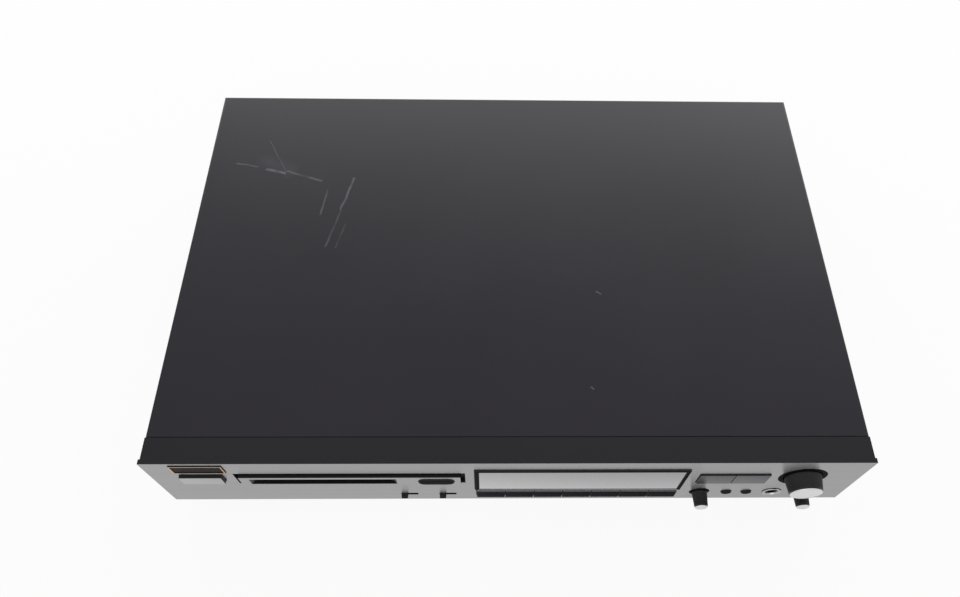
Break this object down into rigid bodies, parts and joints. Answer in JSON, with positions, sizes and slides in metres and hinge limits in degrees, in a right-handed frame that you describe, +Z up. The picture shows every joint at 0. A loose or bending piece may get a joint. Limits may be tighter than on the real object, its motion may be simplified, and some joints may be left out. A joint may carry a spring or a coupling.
{
  "type": "minidisc deck",
  "caption": "Full-width hi-fi minidisc deck: dark folded steel cover on a brushed silver front with disc slot, wide display, keys, switches, level knobs and a jog dial.",
  "frame": {"origin": "on the floor under the middle of the whole box", "axes": "+Z up, the front looks along -Y, +X to the right seen from the front"},
  "size_m": [0.435, 0.307, 0.081],
  "materials": {
    "silver_panel": "brushed anodised",
    "black_plastic": "fine satin",
    "cover_steel": "satin dark paint",
    "zinc_steel": "zinc plated sheet",
    "panel_steel": "matt black paint",
    "silver_plastic": "silver painted plastic",
    "grey_plastic": "grey satin plastic",
    "window": "clear smoked pane",
    "tube_glass": "sealed display tube",
    "bare_plate": "dark plate with gold rim",
    "screw_steel": "black zinc",
    "jack_metal": "nickel plated",
    "board": "paper laminate board",
    "board_green": "glass laminate board",
    "can_sleeve": "shrink sleeve",
    "fin_aluminium": "extruded",
    "core_iron": "varnished laminations",
    "coil_copper": "taped winding",
    "rubber": "soft",
    "gear_white": "acetal",
    "cap_silver": "turned face"
  },
  "bodies": {
    "deck": {"front_fascia": "silver_panel", "front_bezel": "black_plastic", "top_cover": "cover_steel", "base_chassis": "zinc_steel", "rear_panel": "panel_steel", "feet": "black_plastic", "screws": "screw_steel", "badge_plate": "bare_plate", "slot_insert": "silver_panel", "display_frame": "black_plastic", "display_pane": "window", "display_tube": "tube_glass", "phones_jack": "jack_metal", "jog_ring": "black_plastic", "front_board": "board", "switch_bodies": "black_plastic", "main_board": "board_green", "capacitors": "can_sleeve", "board_chips": "black_plastic", "heat_sink": "fin_aluminium", "transformer_core": "core_iron", "transformer_winding": "coil_copper", "analogue_jacks": "jack_metal", "optical_ports": "black_plastic", "remote_jacks": "black_plastic", "ac_inlet": "black_plastic", "drive_frame": "zinc_steel", "drive_dampers": "rubber", "drive_motors": "jack_metal", "guide_rods": "jack_metal"},
    "power": {"power_button": "silver_plastic"},
    "eject": {"eject_button": "black_plastic"},
    "play": {"play_button": "grey_plastic"},
    "stop": {"stop_button": "grey_plastic"},
    "record": {"record_button": "black_plastic"},
    "monitor": {"monitor_button": "black_plastic"},
    "timer_switch": {"timer_switch_knob": "black_plastic"},
    "input_switch": {"input_switch_knob": "black_plastic"},
    "level": {"level_knob": "black_plastic", "level_knob_cap": "cap_silver"},
    "phones_level": {"phones_knob": "black_plastic", "phones_knob_cap": "cap_silver"},
    "jog": {"jog_dial": "black_plastic", "jog_dial_cap": "cap_silver"},
    "flap": {"slot_door": "black_plastic"},
    "holder": {"cartridge_holder": "zinc_steel"},
    "slider": {"loading_slider": "gear_white"},
    "load_gear": {"loading_gear": "gear_white"},
    "feed_gear": {"sled_gear": "gear_white"},
    "spindle": {"turntable": "gear_white"},
    "sled": {"optical_sled": "black_plastic"},
    "arm": {"head_arm": "zinc_steel"},
    "function_1": {"function_button_1": "black_plastic"},
    "function_2": {"function_button_2": "black_plastic"},
    "function_3": {"function_button_3": "black_plastic"},
    "function_4": {"function_button_4": "black_plastic"},
    "function_5": {"function_button_5": "black_plastic"},
    "function_6": {"function_button_6": "black_plastic"},
    "function_7": {"function_button_7": "black_plastic"}
  },
  "joints": [
    {"name": "power_press", "type": "slide", "parent": "deck", "child": "power", "axis": [0, 1, 0], "range_m": [0, 0.002], "stiffness_N_per_m": 150},
    {"name": "eject_press", "type": "slide", "parent": "deck", "child": "eject", "axis": [0, 1, 0], "range_m": [0, 0.001], "stiffness_N_per_m": 200},
    {"name": "play_press", "type": "slide", "parent": "deck", "child": "play", "axis": [0, 1, 0], "range_m": [0, 0.0008], "stiffness_N_per_m": 200},
    {"name": "stop_press", "type": "slide", "parent": "deck", "child": "stop", "axis": [0, 1, 0], "range_m": [0, 0.0008], "stiffness_N_per_m": 200},
    {"name": "record_press", "type": "slide", "parent": "deck", "child": "record", "axis": [0, 1, 0], "range_m": [0, 0.0008], "stiffness_N_per_m": 200},
    {"name": "monitor_press", "type": "slide", "parent": "deck", "child": "monitor", "axis": [0, 1, 0], "range_m": [0, 0.0008], "stiffness_N_per_m": 200},
    {"name": "function_1_press", "type": "slide", "parent": "deck", "child": "function_1", "axis": [0, 1, 0], "range_m": [0, 0.0008], "stiffness_N_per_m": 200},
    {"name": "function_2_press", "type": "slide", "parent": "deck", "child": "function_2", "axis": [0, 1, 0], "range_m": [0, 0.0008], "stiffness_N_per_m": 200},
    {"name": "function_3_press", "type": "slide", "parent": "deck", "child": "function_3", "axis": [0, 1, 0], "range_m": [0, 0.0008], "stiffness_N_per_m": 200},
    {"name": "function_4_press", "type": "slide", "parent": "deck", "child": "function_4", "axis": [0, 1, 0], "range_m": [0, 0.0008], "stiffness_N_per_m": 200},
    {"name": "function_5_press", "type": "slide", "parent": "deck", "child": "function_5", "axis": [0, 1, 0], "range_m": [0, 0.0008], "stiffness_N_per_m": 200},
    {"name": "function_6_press", "type": "slide", "parent": "deck", "child": "function_6", "axis": [0, 1, 0], "range_m": [0, 0.0008], "stiffness_N_per_m": 200},
    {"name": "function_7_press", "type": "slide", "parent": "deck", "child": "function_7", "axis": [0, 1, 0], "range_m": [0, 0.0008], "stiffness_N_per_m": 200},
    {"name": "timer_switch_slide", "type": "slide", "parent": "deck", "child": "timer_switch", "axis": [1, 0, 0], "range_m": [0, 0.0063]},
    {"name": "input_switch_slide", "type": "slide", "parent": "deck", "child": "input_switch", "axis": [1, 0, 0], "range_m": [0, 0.0063]},
    {"name": "level_turn", "type": "hinge", "parent": "deck", "child": "level", "pos_m": [0.1232, -0.1425, 0.0263], "axis": [0, 1, 0], "range_deg": [-150, 150]},
    {"name": "phones_level_turn", "type": "hinge", "parent": "deck", "child": "phones_level", "pos_m": [0.189, -0.1425, 0.0263], "axis": [0, 1, 0], "range_deg": [-150, 150]},
    {"name": "jog_turn", "type": "hinge", "parent": "deck", "child": "jog", "pos_m": [0.181, -0.1425, 0.0557], "axis": [0, 1, 0], "continuous": true},
    {"name": "flap_swing", "type": "hinge", "parent": "deck", "child": "flap", "pos_m": [-0.114, -0.136, 0.0593], "axis": [1, 0, 0], "range_deg": [0, 80], "stiffness_Nm_per_rad": 0.0005},
    {"name": "loading_slide", "type": "slide", "parent": "deck", "child": "slider", "axis": [0, 1, 0], "range_m": [0, 0.012]},
    {"name": "holder_drop", "type": "slide", "parent": "deck", "child": "holder", "axis": [0, 0, -1], "range_m": [0, 0.005]},
    {"name": "loading_gear_turn", "type": "hinge", "parent": "deck", "child": "load_gear", "pos_m": [-0.0792, -0.0405, 0.04], "axis": [0, 0, 1], "range_deg": [0, 102]},
    {"name": "arm_lower", "type": "hinge", "parent": "holder", "child": "arm", "pos_m": [-0.114, -0.0495, 0.0589], "axis": [1, 0, 0], "range_deg": [0, 3.1]},
    {"name": "sled_travel", "type": "slide", "parent": "deck", "child": "sled", "axis": [0, 1, 0], "range_m": [0, 0.018]},
    {"name": "sled_gear_turn", "type": "hinge", "parent": "deck", "child": "feed_gear", "pos_m": [-0.0917, -0.0625, 0.04], "axis": [0, 0, 1], "range_deg": [-152.5, 0]},
    {"name": "spindle_turn", "type": "hinge", "parent": "deck", "child": "spindle", "pos_m": [-0.114, -0.0825, 0.042], "axis": [0, 0, 1], "continuous": true}
  ],
  "couplings": [
    {"joint": "holder_drop", "follows": "loading_slide", "ratio": 0.41666},
    {"joint": "loading_gear_turn", "follows": "loading_slide", "rad_per_m": 147.06},
    {"joint": "arm_lower", "follows": "loading_slide", "rad_per_m": 4.3633},
    {"joint": "sled_gear_turn", "follows": "sled_travel", "rad_per_m": -147.06}
  ]
}
